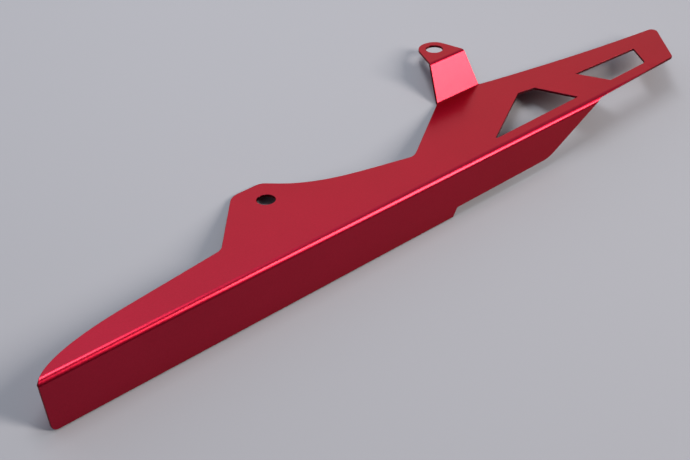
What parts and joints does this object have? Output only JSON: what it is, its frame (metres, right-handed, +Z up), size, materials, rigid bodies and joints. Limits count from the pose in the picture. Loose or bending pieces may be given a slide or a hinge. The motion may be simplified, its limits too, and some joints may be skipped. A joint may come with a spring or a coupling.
{
  "type": "motorcycle chain guard",
  "caption": "Folded sheet-metal chain guard: a long plate with a bolt lobe, cut-through windows and a raised bolt tab, folded into a side flange.",
  "frame": {"origin": "centre of the front bolt hole, in the plate's outer face", "axes": "+X along the foot of the flange towards the tail, +Y level towards the bolt lobe's side, +Z up, with the guard lying at rest on the flange's foot and the lobe's edge"},
  "size_m": [0.4634, 0.104, 0.0268],
  "materials": {
    "red_anodised_aluminium": "satin red anodised"
  },
  "bodies": {
    "root": {"chain_guard": "red_anodised_aluminium"}
  },
  "joints": []
}
